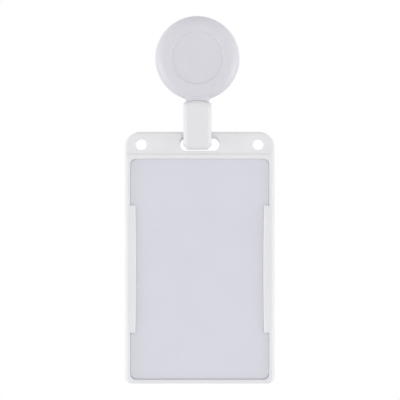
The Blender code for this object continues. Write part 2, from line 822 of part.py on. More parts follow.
def build_holder_frame(parts, cutters):
    half = HOLDER_WIDTH / 2
    outline = rounded_rectangle(-half, half, HOLDER_LOW, HOLDER_TOP, 3.0, 6.2)
    frame = extruded(
        "holder_frame", outline, RIM_FRONT, HOLDER_BACK, parts, FRONT_VIEW, HOLDER_X, edge_round=0.8
    )
    step = [(-half - 1, RIM_TOP), (half + 1, RIM_TOP), (half + 1, HOLDER_TOP + 1), (-half - 1, HOLDER_TOP + 1)]
    relief = extruded("bar_relief", step, RIM_FRONT - 1, BAR_FRONT, cutters, FRONT_VIEW, HOLDER_X)
    combine(frame, relief, "DIFFERENCE")
    tray = rounded_rectangle(-TRAY_HALF_WIDTH, TRAY_HALF_WIDTH, TRAY_LOW, TRAY_TOP, 2.0, 2.0, 4)
    pocket = extruded("tray_pocket", tray, RIM_FRONT - 1, FLOOR_FRONT, cutters, FRONT_VIEW, HOLDER_X)
    combine(frame, pocket, "DIFFERENCE")
    combine(frame, slot_cutter(cutters), "DIFFERENCE")
    for name, x in (("left", -HOLE_X), ("right", HOLE_X)):
        start = (HOLDER_X + x, CORD_Y - 4, SLOT_CENTRE_Z)
        end = (HOLDER_X + x, CORD_Y + 4, SLOT_CENTRE_Z)
        combine(frame, cylinder(name + "_hole", HOLE_RADIUS, start, end, cutters), "DIFFERENCE")
    middle = (TRAY_TOP + TRAY_LOW) / 2
    thumb = [(x, middle + z) for z, x in stadium((0, 0), THUMB_HEIGHT, THUMB_WIDTH)]
    cutter = extruded("thumb_cut", thumb, -1, 4, cutters, FRONT_VIEW, HOLDER_X)
    combine(frame, cutter, "DIFFERENCE")
    for name, side in (("left", -1), ("right", 1)):
        lip = extruded(
            name + "_lip", lip_outline(side), LIP_FRONT, LIP_BACK, cutters, FRONT_VIEW, HOLDER_X
        )
        combine(frame, lip, "UNION")
    return centred(frame, (HOLDER_X, CORD_Y, SLOT_CENTRE_Z + SLOT_HEIGHT / 2))


def build_card_blank(parts):
    top = TRAY_TOP - CARD_TOP_CLEARANCE
    outline = rounded_rectangle(
        -CARD_WIDTH / 2,
        CARD_WIDTH / 2,
        top - CARD_HEIGHT,
        top,
        CARD_CORNER,
        CARD_CORNER,
    )
    rear = FLOOR_FRONT - GAP
    card = extruded("card_blank", outline, rear - CARD_THICKNESS, rear, parts, FRONT_VIEW, HOLDER_X)
    return centred(card, (HOLDER_X, CORD_Y, SLOT_CENTRE_Z + SLOT_HEIGHT / 2))


def main():
    clear_scene()
    parts = new_collection("retractable_badge_reel")
    cutters = new_collection("cutters")
    shell = material("white_reel_plastic", (0.68, 0.68, 0.71), 0.32)
    frame = material("white_frame_plastic", (0.76, 0.77, 0.78), 0.38)
    hook = material("white_hook_plastic", (0.76, 0.76, 0.77), 0.35)
    label = material("label_disc", (0.68, 0.68, 0.71), 0.4)
    card = material("blank_card", (0.67, 0.67, 0.74), 0.45)
    inner = material("natural_nylon", (0.72, 0.70, 0.64), 0.5)
    cord = material("white_cord", (0.75, 0.75, 0.74), 0.8)
    steel = material("nickel_steel", (0.62, 0.62, 0.60), 0.25, 1.0)
    blue_steel = material("spring_steel", (0.35, 0.36, 0.38), 0.3, 1.0)
    brass = material("crimp_brass", (0.70, 0.58, 0.32), 0.35, 1.0)
    finished = (
        (build_front_cover(parts, cutters), shell),
        (build_rear_cover(parts, cutters), shell),
        (build_face_label(parts), label),
        (build_spool(parts), inner),
        (build_mainspring(parts), blue_steel),
        (build_cord_winding(parts), cord),
        (build_cord_lead(parts), cord),
        (build_cord_ferrule(parts), brass),
        (build_swivel_rivet(parts), steel),
        (build_swivel_washer(parts), inner),
        (build_clip_base_jaw(parts, cutters), steel),
        (build_clip_lever_jaw(parts, cutters), steel),
        (build_clip_pin(parts), steel),
        (build_clip_spring(parts), blue_steel),
        (build_hook_body(parts, cutters), hook),
        (build_hook_gate(parts, cutters), hook),
        (build_gate_pin(parts), steel),
        (build_gate_spring(parts), blue_steel),
        (build_holder_frame(parts, cutters), frame),
        (build_card_blank(parts), card),
    )
    for obj, made in finished:
        paint(obj, made)


main()
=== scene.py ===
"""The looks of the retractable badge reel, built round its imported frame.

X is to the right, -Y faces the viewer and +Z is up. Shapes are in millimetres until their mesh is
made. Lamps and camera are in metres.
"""

from math import acos, atan2, ceil, cos, degrees, hypot, pi, radians, sin, sqrt, tau

import bmesh
import bpy
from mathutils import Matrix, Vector


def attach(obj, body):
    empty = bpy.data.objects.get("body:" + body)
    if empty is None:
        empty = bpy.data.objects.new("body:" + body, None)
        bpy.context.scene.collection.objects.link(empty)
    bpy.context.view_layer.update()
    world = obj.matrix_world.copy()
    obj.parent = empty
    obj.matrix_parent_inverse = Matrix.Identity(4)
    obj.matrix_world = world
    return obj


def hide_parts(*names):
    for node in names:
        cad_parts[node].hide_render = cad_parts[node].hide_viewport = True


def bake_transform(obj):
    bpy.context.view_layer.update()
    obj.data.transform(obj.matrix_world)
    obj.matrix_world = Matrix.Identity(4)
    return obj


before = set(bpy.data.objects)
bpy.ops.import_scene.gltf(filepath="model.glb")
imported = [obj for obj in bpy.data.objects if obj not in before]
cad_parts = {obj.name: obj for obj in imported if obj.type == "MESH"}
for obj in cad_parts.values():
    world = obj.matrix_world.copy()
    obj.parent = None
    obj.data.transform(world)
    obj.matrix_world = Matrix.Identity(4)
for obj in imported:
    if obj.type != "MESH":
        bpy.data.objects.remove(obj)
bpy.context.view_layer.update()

MM = 0.001
CORD_Y = -6.8


# Outlines: closed lists of (u, v) places, anticlockwise

STRAIGHT = pi - 0.01
SHORTEST_EDGE = 1e-9
SHARPEST_CORNER = 0.2


def arc(centre, radius, start, end, steps):
    """Points on an arc, from the angle start to the angle end, in degrees."""
    angles = [radians(start + (end - start) * i / steps) for i in range(steps + 1)]
    return [(centre[0] + radius * cos(a), centre[1] + radius * sin(a)) for a in angles]


def filleted(corners, step=8.0):
    """A closed outline through corners (u, v, radius), each rounded to its own radius."""
    outline = []
    for i, (u, v, radius) in enumerate(corners):
        here = Vector((u, v))
        last = (Vector(corners[i - 1][:2]) - here).normalized()
        following = (Vector(corners[(i + 1) % len(corners)][:2]) - here).normalized()
        opening = last.angle(following)
        if radius <= 0 or opening > STRAIGHT:
            outline.append((u, v))
            continue
        centre = here + (last + following).normalized() * radius / sin(opening / 2)
        reach = radius * cos(opening / 2) / sin(opening / 2)
        first = here + last * reach - centre
        final = here + following * reach - centre
        start = atan2(first.y, first.x)
        turn = (atan2(final.y, final.x) - start + pi) % tau - pi
        steps = max(2, ceil(abs(degrees(turn)) / step))
        outline += arc(centre, radius, degrees(start), degrees(start + turn), steps)
    return outline


def box_outline(left, right, low, high, low_round, high_round):
    """A rectangle with one radius for its lower corners and one for its upper corners."""
    lower = [(left, low, low_round), (right, low, low_round)]
    upper = [(right, high, high_round), (left, high, high_round)]
    return filleted(lower + upper, step=5.0)


def stadium(centre, length, height, steps=20):
    """A slot outline, long in its first direction."""
    reach = (length - height) / 2
    right = arc((centre[0] + reach, centre[1]), height / 2, -90, 90, steps)
    return right + arc((centre[0] - reach, centre[1]), height / 2, 90, 270, steps)


def spread(first, final, steps):
    """Even places between two ends, without the ends."""
    return [first + (final - first) * i / steps for i in range(1, steps)]


def inset(outline, distance):
    """The outline moved in by a distance, which is one number or one for each point."""
    count = len(outline)
    distances = distance if isinstance(distance, list) else [distance] * count
    moved = []
    for i, point in enumerate(outline):
        here = Vector(point)
        before = here - Vector(outline[i - 1])
        after = Vector(outline[(i + 1) % count]) - here
        before = before.normalized() if before.length > SHORTEST_EDGE else after.normalized()
        after = after.normalized() if after.length > SHORTEST_EDGE else before
        inward = Vector((-before.y - after.y, before.x + after.x)) / 2
        stretch = max(inward.length_squared, SHARPEST_CORNER)
        moved.append(tuple(here + inward / stretch * distances[i]))
    return moved


def edge_levels(low, high, low_round, high_round, steps=5):
    """Levels (height, inset) of a slab with rounded edges.

    A round is one radius, or (inset, height).
    """
    low_in, low_up = low_round if isinstance(low_round, tuple) else (low_round, low_round)
    high_in, high_up = high_round if isinstance(high_round, tuple) else (high_round, high_round)
    angles = [pi / 2 * i / steps for i in range(steps + 1)]
    if low_up:
        levels = [(low + low_up * (1 - sin(a)), low_in * (1 - cos(a))) for a in angles[::-1]]
    else:
        levels = [(low, 0)]
    if not high_up:
        return levels + [(high, 0)]
    return levels + [(high - high_up * (1 - sin(a)), high_in * (1 - cos(a))) for a in angles]


# Solids


def front_view(u, v, w):
    return (u, w, v)


def side_view(u, v, w):
    return (w, u, v)


def placed(name, data):
    """A new object in the scene."""
    obj = bpy.data.objects.new(name, data)
    bpy.context.scene.collection.objects.link(obj)
    return obj


def new_object(name, points, faces):
    """A mesh object from places in millimetres, with its faces turned outwards."""
    mesh = bpy.data.meshes.new(name)
    mesh.from_pydata([(x * MM, y * MM, z * MM) for x, y, z in points], [], faces)
    shape = bmesh.new()
    shape.from_mesh(mesh)
    bmesh.ops.remove_doubles(shape, verts=shape.verts, dist=2e-7)
    bmesh.ops.dissolve_degenerate(shape, edges=shape.edges, dist=1e-7)
    bmesh.ops.recalc_face_normals(shape, faces=shape.faces)
    shape.to_mesh(mesh)
    shape.free()
    return placed(name, mesh)


def loft(name, rings):
    """A closed solid through rings that have the same number of points."""
    count = len(rings[0])
    faces = []
    for r in range(len(rings) - 1):
        base = r * count
        for i in range(count):
            j = (i + 1) % count
            faces.append((base + i, base + j, base + count + j, base + count + i))
    faces.append(tuple(range(count))[::-1])
    faces.append(tuple(range((len(rings) - 1) * count, len(rings) * count)))
    return new_object(name, [point for ring in rings for point in ring], faces)


def slab(name, outline, levels, view=front_view, across=0.0):
    """A flat outline through levels (height, inset) along the view's normal."""
    rings = []
    for height, amount in levels:
        rings.append([view(u + across, v, height) for u, v in inset(outline, amount)])
    return loft(name, rings)


def on_y(radius, along, angle):
    return (radius * cos(angle), along, radius * sin(angle))


def on_z(radius, along, angle):
    return (radius * cos(angle), CORD_Y + radius * sin(angle), along)


def turned(name, profile, place, sides=192, closed=False):
    """A solid of revolution from a profile of (radius, place along the axis)."""
    points = []
    rows = []
    for radius, along in profile:
        if radius == 0:
            rows.append([len(points)] * sides)
            points.append(place(0, along, 0))
        else:
            rows.append(list(range(len(points), len(points) + sides)))
            points += [place(radius, along, tau * i / sides) for i in range(sides)]
    faces = []
    pairs = list(zip(rows, rows[1:]))
    if closed:
        pairs.append((rows[-1], rows[0]))
    for a, b in pairs:
        for i in range(sides):
            j = (i + 1) % sides
            face = list(dict.fromkeys((a[i], a[j], b[j], b[i])))
            if len(face) > 2:
                faces.append(tuple(face))
    return new_object(name, points, faces)


def tube(name, route, radius, sides=16):
    """A round wire along a smooth route of places, with closed ends."""
    rings = []
    places = [Vector(p) for p in route]
    side = None
    for i, here in enumerate(places):
        ahead = places[min(i + 1, len(places) - 1)] - places[max(i - 1, 0)]
        ahead.normalize()
        if side is None:
            side = ahead.orthogonal().normalized()
        side = (side - ahead * side.dot(ahead)).normalized()
        other = ahead.cross(side)
        angles = [tau * k / sides for k in range(sides)]
        rings.append([tuple(here + (side * cos(a) + other * sin(a)) * radius) for a in angles])
    return loft(name, rings)


def applied(obj):
    """The object with its modifiers made into its mesh."""
    bpy.context.view_layer.update()
    graph = bpy.context.evaluated_depsgraph_get()
    mesh = bpy.data.meshes.new_from_object(obj.evaluated_get(graph))
    obj.modifiers.clear()
    old = obj.data
    obj.data = mesh
    bpy.data.meshes.remove(old)
    return obj


def boolean(obj, tool, operation):
    """Applies one exact Boolean and removes its tool."""
    step = obj.modifiers.new("cut", "BOOLEAN")
    step.operation = operation
    step.solver = "EXACT"
    step.object = tool
    applied(obj)
    bpy.data.objects.remove(tool, do_unlink=True)
    return obj


def cut(obj, *tools):
    for tool in tools:
        boolean(obj, tool, "DIFFERENCE")
    return obj


def join(obj, *tools):
    for tool in tools:
        boolean(obj, tool, "UNION")
    return obj


def pin_hole(radius, axis):
    """The cutter of a pin's bore, longer than any pin."""
    return turned("pin_hole", [(0, -6), (radius, -6), (radius, 6), (0, 6)], axis, 48)


def soften(obj, width):
    """Rounds every sharp edge of a finished solid a little."""
    bevel = obj.modifiers.new("edges", "BEVEL")
    bevel.width = width * MM
    bevel.segments = 2
    bevel.limit_method = "ANGLE"
    bevel.angle_limit = radians(38)
    bevel.miter_outer = "MITER_ARC"
    return applied(obj)


def piece(obj, body, made, slot, *stands_for):
    """Shades a finished mesh, gives it its material and lets it ride on its body.

    A piece without a body is not attached to any body.
    """
    mesh = obj.data
    mesh.materials.clear()
    mesh.materials.append(made)
    mesh.shade_smooth()
    mesh.set_sharp_from_angle(angle=radians(32))
    weighted = obj.modifiers.new("flat_faces_first", "WEIGHTED_NORMAL")
    weighted.keep_sharp = True
    weighted.weight = 60
    if body:
        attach(obj, body)
    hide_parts(*stands_for)
    return obj


# Materials

# Sockets of a Mix node that mixes colours
MIX_FACTOR, MIX_FIRST, MIX_SECOND, MIX_RESULT = 0, 6, 7, 2


def set_stops(ramp, stops):
    """Gives a new colour ramp its stops of (place, colour)."""
    elements = ramp.color_ramp.elements
    for i in (0, -1):
        elements[i].position = stops[i][0]
        elements[i].color = (*stops[i][1], 1)
    for place, colour in stops[1:-1]:
        elements.new(place).color = (*colour, 1)


class Surface:
    """A procedural material: a shader with noises that vary its colour, roughness and relief."""

    def __init__(self, name, roughness, metallic=0.0, specular=0.5):
        self.made = bpy.data.materials.new(name)
        self.made.use_nodes = True
        self.tree = self.made.node_tree
        self.shader = self.tree.nodes["Principled BSDF"]
        self.shader.inputs["Roughness"].default_value = roughness
        self.shader.inputs["Metallic"].default_value = metallic
        self.shader.inputs["Specular IOR Level"].default_value = specular
        self.place = self.node("ShaderNodeTexCoord").outputs["Object"]
        self.relief = None

    def node(self, kind, **settings):
        node = self.tree.nodes.new(kind)
        for key, value in settings.items():
            setattr(node, key, value)
        return node

    def link(self, source, target):
        self.tree.links.new(source, target)

    def stretched(self, scale):
        """Object coordinates in millimetres, scaled in each direction."""
        mapping = self.node("ShaderNodeMapping")
        mapping.inputs["Scale"].default_value = [1000 * s for s in scale]
        self.link(self.place, mapping.inputs["Vector"])
        return mapping.outputs["Vector"]

    def noise(self, scale, detail=2.0, stretch=(1, 1, 1), rough=0.5):
        texture = self.node("ShaderNodeTexNoise")
        texture.inputs["Scale"].default_value = scale
        texture.inputs["Detail"].default_value = detail
        texture.inputs["Roughness"].default_value = rough
        self.link(self.stretched(stretch), texture.inputs["Vector"])
        return texture.outputs["Fac"]

    def ramp(self, value, *stops):
        """Colours by value: stops are (place, colour)."""
        ramp = self.node("ShaderNodeValToRGB")
        set_stops(ramp, stops)
        self.link(value, ramp.inputs["Fac"])
        return ramp.outputs["Color"]

    def mapped(self, value, low, high, source_low=0.3, source_high=0.7):
        step = self.node("ShaderNodeMapRange")
        step.inputs["From Min"].default_value = source_low
        step.inputs["From Max"].default_value = source_high
        step.inputs["To Min"].default_value = low
        step.inputs["To Max"].default_value = high
        self.link(value, step.inputs["Value"])
        return step.outputs["Result"]

    def mixed(self, factor, first, second, kind="MIX"):
        """Two colours mixed. Each value is a socket, a colour or a number."""
        mix = self.node("ShaderNodeMix", data_type="RGBA", blend_type=kind)
        for index, value in ((MIX_FACTOR, factor), (MIX_FIRST, first), (MIX_SECOND, second)):
            socket = mix.inputs[index]
            if isinstance(value, bpy.types.NodeSocket):
                self.link(value, socket)
            elif isinstance(value, tuple):
                socket.default_value = (*value, 1)
            else:
                socket.default_value = value
        return mix.outputs[MIX_RESULT]

    def worn_and_highlit(self, colour, edge, strength=0.5):
        """Lightens the colour on outer, convex edges: partly handling wear, partly a painted
        highlight where edges catch the light.
        """
        point = self.node("ShaderNodeNewGeometry").outputs["Pointiness"]
        flat, sharp = 0.51, 0.58
        share = self.mapped(point, 0.0, strength, flat, sharp)
        return self.mixed(share, colour, edge)

    def bump(self, height, distance, strength=1.0):
        """Adds relief, with its distance in millimetres."""
        bump = self.node("ShaderNodeBump")
        bump.inputs["Distance"].default_value = distance * MM
        bump.inputs["Strength"].default_value = strength
        self.link(height, bump.inputs["Height"])
        if self.relief is not None:
            self.link(self.relief, bump.inputs["Normal"])
        self.relief = bump.outputs["Normal"]

    def finish(self, colour, roughness=None):
        self.link(colour, self.shader.inputs["Base Color"])
        if roughness is not None:
            self.link(roughness, self.shader.inputs["Roughness"])
        if self.relief is not None:
            self.link(self.relief, self.shader.inputs["Normal"])
        return self.made


def shade(colour, amount):
    return tuple(min(1.0, c * amount) for c in colour)


def moulded(name, colour, roughness, grain, depth):
    """Moulded plastic: a spark-eroded grain, faint flow marks and lighter edges, partly handling
    wear and partly painted highlight.
    """
    s = Surface(name, roughness)
    flow = s.noise(0.12, 3, (1, 1, 0.4))
    fine = s.noise(grain, 3)
    tint = s.ramp(flow, (0.3, shade(colour, 0.975)), (0.55, colour), (0.75, shade(colour, 1.02)))
    tint = s.mixed(s.mapped(fine, 0.0, 0.35, 0.35, 0.75), tint, shade(colour, 0.965))
    # Lighter convex edges: partly wear, partly painted highlight.
    tint = s.worn_and_highlit(tint, shade(colour, 1.05))
    s.bump(flow, 0.02, 0.5)
    s.bump(fine, depth)
    return s.finish(tint, s.mapped(s.noise(grain * 0.35, 2), roughness - 0.05, roughness + 0.07))


def laminate(name, colour):
    """A blank card's laminate: even, with a faint fibre mottle and handling marks."""
    s = Surface(name, 0.42)
    fibre = s.noise(2.2, 4, (1, 1, 1.6))
    cloud = s.noise(0.06, 2)
    tint = s.ramp(cloud, (0.3, shade(colour, 0.985)), (0.7, shade(colour, 1.012)))
    tint = s.mixed(s.mapped(fibre, 0.0, 0.3, 0.4, 0.75), tint, shade(colour, 0.975))
    s.bump(fibre, 0.004)
    return s.finish(tint, s.mapped(s.noise(0.3, 3), 0.36, 0.5))


def film(name, colour):
    """The matt film of the reel's disc."""
    s = Surface(name, 0.5)
    grain = s.noise(9.0, 2)
    tint = s.ramp(s.noise(0.1, 2), (0.3, shade(colour, 0.985)), (0.7, shade(colour, 1.012)))
    tint = s.mixed(s.mapped(grain, 0.0, 0.25), tint, shade(colour, 0.96))
    s.bump(grain, 0.004)
    return s.finish(tint, s.mapped(grain, 0.45, 0.56))


def plated(name, colour, roughness, along=(0.3, 0.3, 6.0)):
    """Plated sheet or wire: drawn lines, small dulled patches and brighter edges, partly wear and
    partly painted highlight.
    """
    s = Surface(name, roughness, metallic=1.0)
    lines = s.noise(1.6, 4, along, 0.6)
    patches = s.noise(0.5, 3)
    tint = s.ramp(patches, (0.3, shade(colour, 0.86)), (0.6, colour), (0.8, shade(colour, 1.06)))
    tint = s.mixed(s.mapped(lines, 0.0, 0.5, 0.4, 0.7), tint, shade(colour, 0.88))
    # Brighter convex edges: partly rubbed plating, partly painted highlight.
    tint = s.worn_and_highlit(tint, shade(colour, 1.25), 0.7)
    s.bump(lines, 0.006)
    return s.finish(tint, s.mapped(patches, roughness + 0.12, roughness - 0.05))


def braided(name, colour):
    """Fine braided nylon cord: two sets of strands that cross on the slant."""
    s = Surface(name, 0.75, specular=0.25)
    s.shader.inputs["Sheen Weight"].default_value = 0.3
    heights = []
    for stretch in ((1, 1, 0.8), (-1, -1, 0.8)):
        wave = s.node("ShaderNodeTexWave", bands_direction="DIAGONAL")
        wave.inputs["Scale"].default_value = 1.1
        wave.inputs["Distortion"].default_value = 0.6
        s.link(s.stretched(stretch), wave.inputs["Vector"])
        heights.append(wave.outputs["Color"])
    weave = s.mixed(0.5, heights[0], heights[1], "DARKEN")
    # Darker where the weave dips, in the grooves between strands: painted shade.
    tint = s.mixed(s.mapped(weave, 0.5, 0.0, 0.0, 0.8), colour, shade(colour, 0.72))
    s.bump(weave, 0.05)
    return s.finish(tint)


REEL_COLOUR = (0.722, 0.714, 0.757)
REEL = moulded("reel_moulding", REEL_COLOUR, 0.36, 5.0, 0.006)
DISC = film("reel_disc_film", REEL_COLOUR)
HOOK = moulded("hook_moulding", (0.81, 0.805, 0.82), 0.34, 6.0, 0.004)
FRAME = moulded("frame_moulding", (0.83, 0.832, 0.845), 0.4, 4.5, 0.006)
CARD = laminate("card_laminate", (0.722, 0.722, 0.785))
NYLON = moulded("natural_nylon", (0.72, 0.70, 0.64), 0.5, 4.0, 0.006)
CORD = braided("white_cord", (0.76, 0.76, 0.75))
NICKEL = plated("nickel_plate", (0.50, 0.495, 0.48), 0.3)
SPRING = plated("blued_spring_steel", (0.25, 0.265, 0.30), 0.32, (0.3, 5.0, 5.0))
BRASS = plated("turned_brass", (0.72, 0.58, 0.30), 0.3)


# The reel case: the front shell's forward side is towards -Y

REEL_FRONT = -11.8
REEL_REAR = -1.8
REEL_RADIUS = 16.5
SHELL = 1.3
INNER_RADIUS = 15.1
FRONT_PARTING = -5.7
REAR_PARTING = -5.5
PARTING_ROUND = 0.15
RECESS_RADIUS = 10.6
RECESS_FLOOR = -11.3
DISC_FACE = REEL_FRONT + 0.4
DOME_CENTRE = -28.95
DOME_RADIUS = 12.75
NECK_HALF = 4.6
NECK_LOW = -17.7
# The neck's halves stop this far short of the shells' parting faces
NECK_STEP = 0.02


def neck_outline():
    """The short neck below the disc, rooted in the wall, with a concave fillet each side."""
    root = 15.7
    fillet = 1.2
    x = NECK_HALF + fillet
    z = -sqrt((REEL_RADIUS + fillet) ** 2 - x**2)
    start = 180 + degrees(atan2(z, x))
    right = arc((x, z), fillet, start, 180, 10)
    left = [(-u, v) for u, v in reversed(right)]
    lowest = [(NECK_HALF, NECK_LOW), (-NECK_HALF, NECK_LOW)]
    turn = degrees(acos(5.0 / root))
    top = arc((0, 0), root, 180 + turn, 360 - turn, 12)
    return (right + lowest + left + top)[::-1]


def cut_neck(cover):
    """Cuts the cord's bore, wider at its mouth, and the seat that the hook's head turns in."""
    high, low = -14, -19
    narrow, wide = 1.5, 1.9
    bore = [(0, high), (narrow, high), (narrow, -16.4), (wide, -16.9), (wide, low), (0, low)]
    bore = turned("bore", bore, on_z, 66)
    reach = 9.0
    play = 0.08
    steps = 24
    seat = []
    for i in range(steps + 1):
        radius = reach * i / steps
        seat.append((radius, DOME_CENTRE + sqrt((DOME_RADIUS + play) ** 2 - radius**2)))
    seat += [(reach, -22), (0, -22)]
    return cut(cover, bore, turned("seat", seat, on_z, 96))


def build_neck_face():
    """The neck's front, with its side and lower edges rounded and its root square."""
    root = 14.4
    steps = 12
    turn = degrees(acos(NECK_HALF / root))
    outline = arc((0, 0), root, 180 + turn, 360 - turn, steps)[::-1]
    outline += [(-NECK_HALF, NECK_LOW), (NECK_HALF, NECK_LOW)]
    rings = []
    for height, amount in edge_levels(-10.3, -9.2, (1.7, 0.7), 0, 10):
        amounts = [amount] + [0.0] * (steps - 1) + [amount] * 3
        rings.append([(u, height, v) for u, v in inset(outline, amounts)])
    return loft("neck_face", rings)


def build_front_cover():
    roof = REEL_FRONT + SHELL
    edge = 4.5
    inner_round = 3.0
    wall = RECESS_RADIUS - 0.57
    post = 2.2
    post_end = CORD_Y + 2.6
    # The recess wall is upright as far as the disc's face, then leans outwards
    profile = [(0, RECESS_FLOOR), (wall, RECESS_FLOOR), (wall, DISC_FACE)]
    profile += [(wall + 0.46, REEL_FRONT + 0.02), (wall + 0.52, REEL_FRONT)]
    profile += arc((REEL_RADIUS - edge, REEL_FRONT + edge), edge, -90, 0, 30)
    corner = (REEL_RADIUS - PARTING_ROUND, FRONT_PARTING - PARTING_ROUND)
    profile += arc(corner, PARTING_ROUND, 0, 90, 3)
    profile += [(INNER_RADIUS, FRONT_PARTING)]
    profile += arc((INNER_RADIUS - inner_round, roof + inner_round), inner_round, 0, -90, 10)
    profile += [(post, roof), (post, post_end), (0, post_end)]
    cover = turned("reel_front_cover", profile, on_y)
    neck = slab("neck", neck_outline(), [(-9.3, 0), (FRONT_PARTING - NECK_STEP, 0)])
    return cut_neck(join(cover, neck, build_neck_face()))


def build_rear_cover():
    floor = REEL_REAR - SHELL
    edge = 3.55
    inner_round = 2.2
    hole = 1.75
    hole_round = 0.2
    corner = (REEL_RADIUS - PARTING_ROUND, REAR_PARTING + PARTING_ROUND)
    profile = arc(corner, PARTING_ROUND, -90, 0, 3)
    profile += arc((REEL_RADIUS - edge, REEL_REAR - edge), edge, 0, 90, 26)
    profile += arc((hole + hole_round, REEL_REAR - hole_round), hole_round, 90, 180, 4)
    profile += [(hole, floor)]
    profile += arc((INNER_RADIUS - inner_round, floor - inner_round), inner_round, 90, 0, 10)
    profile += [(INNER_RADIUS, REAR_PARTING)]
    cover = turned("reel_rear_cover", profile, on_y, closed=True)
    neck = slab("neck", neck_outline(), edge_levels(REAR_PARTING + NECK_STEP, -4.4, 0, 0.5))
    return cut_neck(join(cover, neck))


def build_label():
    radius = RECESS_RADIUS - 0.58
    foot = RECESS_FLOOR - 0.02
    edge = 0.03
    profile = [(0, foot), (radius, foot), (radius, DISC_FACE + edge)]
    profile += arc((radius - edge, DISC_FACE + edge), edge, 0, -90, 3) + [(0, DISC_FACE)]
    return turned("reel_disc", profile, on_y)


piece(build_front_cover(), "reel", REEL, "reel_plastic", "front_cover")
piece(build_rear_cover(), "reel", REEL, "reel_plastic", "rear_cover")
piece(build_label(), "reel", DISC, "label_disc", "face_label")


# The cord: its lead inside the case, and the run that pays out between the neck and the hook

CORD_RADIUS = 0.45


def lead_route():
    """From the winding's rim, off at a tangent, and round a bend into the neck's bore."""
    radius = 13.75
    corner_z = -15.4
    bend = 2.0
    off = acos(radius / -corner_z)
    route = arc((0, 0), radius, degrees(off) - 60, degrees(off) - 90, 16)
    turn = pi / 2 - off
    along = Vector((-cos(off), -sin(off)))
    start = Vector((0, corner_z)) - along * bend * (sin(turn / 2) / cos(turn / 2))
    centre = start + Vector((along.y, -along.x)) * bend
    first = atan2(start.y - centre.y, start.x - centre.x)
    route += arc(centre, bend, degrees(first), degrees(first + turn), 14)
    return [(x, CORD_Y, z) for x, z in route]


def build_run():
    """The short cord in the neck, with enough rings to stretch evenly."""
    high, low = -16.3, -17.35
    steps = 120
    route = [(0, CORD_Y, high + (low - high) * i / steps) for i in range(steps + 1)]
    run = tube("cord_run", route, CORD_RADIUS - 0.01)
    run.data.materials.append(CORD)
    run.data.shade_smooth()
    return run


piece(tube("cord_inside", lead_route(), CORD_RADIUS), "reel", CORD, "cord", "cord_lead")
run = build_run()
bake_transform(run)


# The hook: its side outline is in (y, z), and its sides are pulled in towards both ends

HOOK_HALF = 5.5
HOOK_FRONT = -5.0
HOOK_BACK = 4.6
HOOK_LOW = -35.65
HEAD_TOP = -17.0
HEAD_LOW = -22.5
LOOP_HALF = 2.7
LOOP_LOW = -31.85
TIP_INNER = -28.5
TIP_OUTER = -26.9
SIDE_START = 3.85
SIDE_EASE = 0.8
BEVEL_START = 4.0
DOME_EDGE = 1.3
DOME_SIDE_EDGE = 0.3
GATE_BACK = 3.4
GATE_Y = CORD_Y + GATE_BACK
GATE_Z = -20.6
GATE_BORE = 0.65


def gate_axis(radius, along, angle):
    return (along, GATE_Y + radius * cos(angle), GATE_Z + radius * sin(angle))


def hook_corners():
    """Corners: distance behind the cord, z, radius, and three amounts.

    The amounts are the share of the side's narrowing, the depth of the bevel at the side, and the
    radius of the side's edge.
    """
    return [
        (HOOK_FRONT, HEAD_TOP, 0, 1.0, 0.0, 0.15),
        (HOOK_FRONT, HOOK_LOW, 3.2, 0.4, 1.5, 0.3),
        (HOOK_BACK, HOOK_LOW, 3.2, 0.0, 0.3, 0.5),
        (HOOK_BACK, TIP_OUTER, 0.35, 0.0, 0.0, 0.3),
        (LOOP_HALF, TIP_INNER, 0.3, 0.0, 0.0, 0.3),
        (LOOP_HALF, LOOP_LOW, 1.2, 0.0, 0.0, 0.3),
        (-LOOP_HALF, LOOP_LOW, 1.2, 0.0, 0.0, 0.3),
        (-LOOP_HALF, HEAD_LOW, 0.5, 0.0, 0.0, 0.3),
        (HOOK_BACK, HEAD_LOW, 0.3, 0.0, 0.3, 0.5),
        (HOOK_BACK, HEAD_TOP, 0, 0.0, 0.0, 0.0),
    ]


def hook_path():
    """The outline below the dome: each point with its three amounts."""
    corners = hook_corners()
    path = []
    for i, (d, z, radius, *amounts) in enumerate(corners):
        before = corners[i - 1]
        after = corners[(i + 1) % len(corners)]
        points = filleted([(*before[:2], 0), (d, z, radius), (*after[:2], 0)], 5.0)[1:-1]
        old = before[3:] if i else amounts
        for k, point in enumerate(points):
            part = k / (len(points) - 1) if len(points) > 1 else 0.5
            path.append((point, [a + (b - a) * part for a, b in zip(old, amounts)]))
    return path


def dome(x, d):
    return DOME_CENTRE + sqrt(DOME_RADIUS**2 - x * x - d * d)


def quarter(distance, radius):
    """How far a rounded edge has fallen away at a distance from its end."""
    if radius <= 0 or distance >= radius:
        return 0.0
    return radius - sqrt(radius**2 - (radius - distance) ** 2)


def hook_ring(x, path, top_shares):
    """The hook's section at x: its path drawn in, closed by the domed top."""
    reach = abs(x)
    beyond = max(0.0, reach - SIDE_START)
    side = beyond**2 / (2 * SIDE_EASE) if beyond < SIDE_EASE else beyond - SIDE_EASE / 2
    bevel = max(0.0, (reach - BEVEL_START) / (HOOK_HALF - BEVEL_START))
    outline = []
    distances = []
    for point, (side_share, bevel_depth, edge) in path:
        outline.append(point)
        fall = quarter(HOOK_HALF - reach, edge)
        distances.append(side_share * side + bevel_depth * bevel + fall)
    moved = inset(outline, distances)
    front = moved[0][0]
    rear = moved[-1][0]
    fall = quarter(HOOK_HALF - reach, DOME_SIDE_EDGE)
    moved[0] = (front, dome(x, front) - fall - DOME_EDGE)
    moved[-1] = (rear, dome(x, rear) - fall - DOME_EDGE)
    for share in top_shares:
        d = rear + (front - rear) * share
        nearest = min(d - front, rear - d)
        moved.append((d, dome(x, d) - fall - quarter(nearest, DOME_EDGE)))
    return [(x, CORD_Y + d, z) for d, z in moved]


